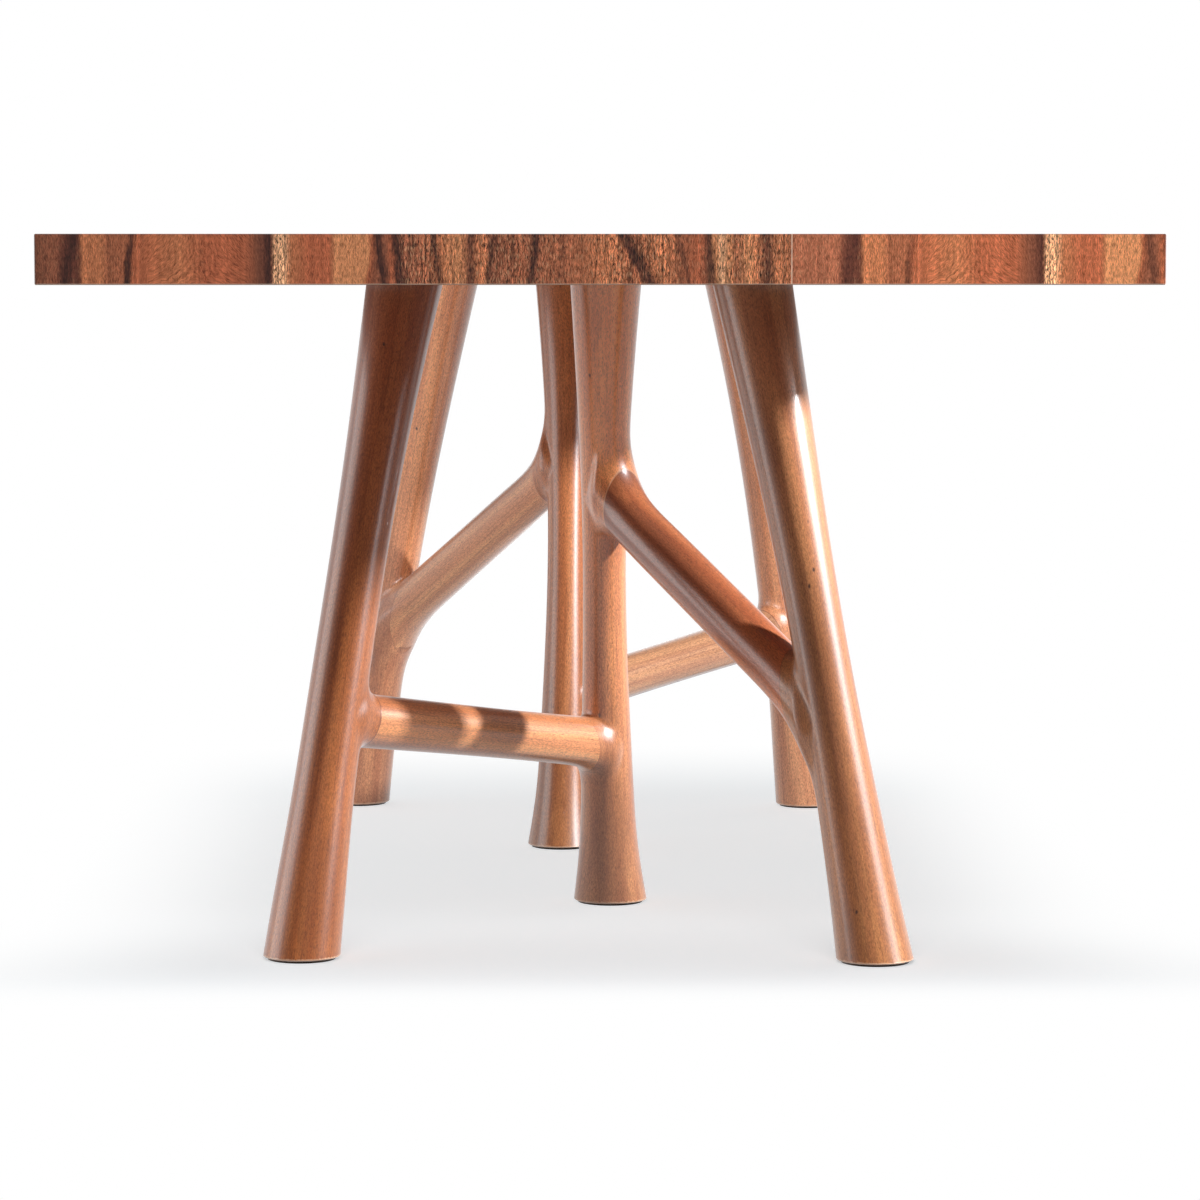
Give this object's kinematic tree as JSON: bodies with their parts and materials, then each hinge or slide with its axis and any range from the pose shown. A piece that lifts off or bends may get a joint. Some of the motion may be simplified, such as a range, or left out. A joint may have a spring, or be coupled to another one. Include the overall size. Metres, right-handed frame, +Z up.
{
  "type": "dining table",
  "caption": "Rectangular dining table: a thick striped-veneer slab top on two trestles of splayed round legs joined by branch-like stretchers.",
  "frame": {"origin": "on the floor, under the middle of the top", "axes": "+Z up, +Y along the length of the top, +X across it; the short edge in the picture faces -Y"},
  "size_m": [1.067, 2.134, 0.762],
  "materials": {
    "top_veneer": "satin lacquer",
    "core_wood": "sanded",
    "leg_wood": "satin lacquer",
    "tenon_wood": "sanded",
    "plate_steel": "satin",
    "screw_steel": "zinc plated",
    "insert_brass": "plain",
    "pad_felt": "felt"
  },
  "bodies": {
    "root": {"front_branch_tenons": "tenon_wood", "front_edge_veneer_left_leaf": "top_veneer", "front_edge_veneer_right_leaf": "top_veneer", "front_high_branch": "leg_wood", "front_left_foot_pad": "pad_felt", "front_left_leg": "leg_wood", "front_left_leg_plate": "plate_steel", "front_low_branch": "leg_wood", "front_middle_foot_pad": "pad_felt", "front_middle_leg": "leg_wood", "front_middle_leg_plate": "plate_steel", "front_right_foot_pad": "pad_felt", "front_right_leg": "leg_wood", "front_right_leg_plate": "plate_steel", "left_edge_veneer": "top_veneer", "leg_screws": "screw_steel", "plate_inserts": "insert_brass", "plate_screws": "screw_steel", "rear_branch_tenons": "tenon_wood", "rear_edge_veneer_left_leaf": "top_veneer", "rear_edge_veneer_right_leaf": "top_veneer", "rear_high_branch": "leg_wood", "rear_left_foot_pad": "pad_felt", "rear_left_leg": "leg_wood", "rear_left_leg_plate": "plate_steel", "rear_low_branch": "leg_wood", "rear_middle_foot_pad": "pad_felt", "rear_middle_leg": "leg_wood", "rear_middle_leg_plate": "plate_steel", "rear_right_foot_pad": "pad_felt", "rear_right_leg": "leg_wood", "rear_right_leg_plate": "plate_steel", "right_edge_veneer": "top_veneer", "top_core": "core_wood", "top_veneer_left_leaf": "top_veneer", "top_veneer_right_leaf": "top_veneer", "underside_veneer": "top_veneer"}
  },
  "joints": []
}
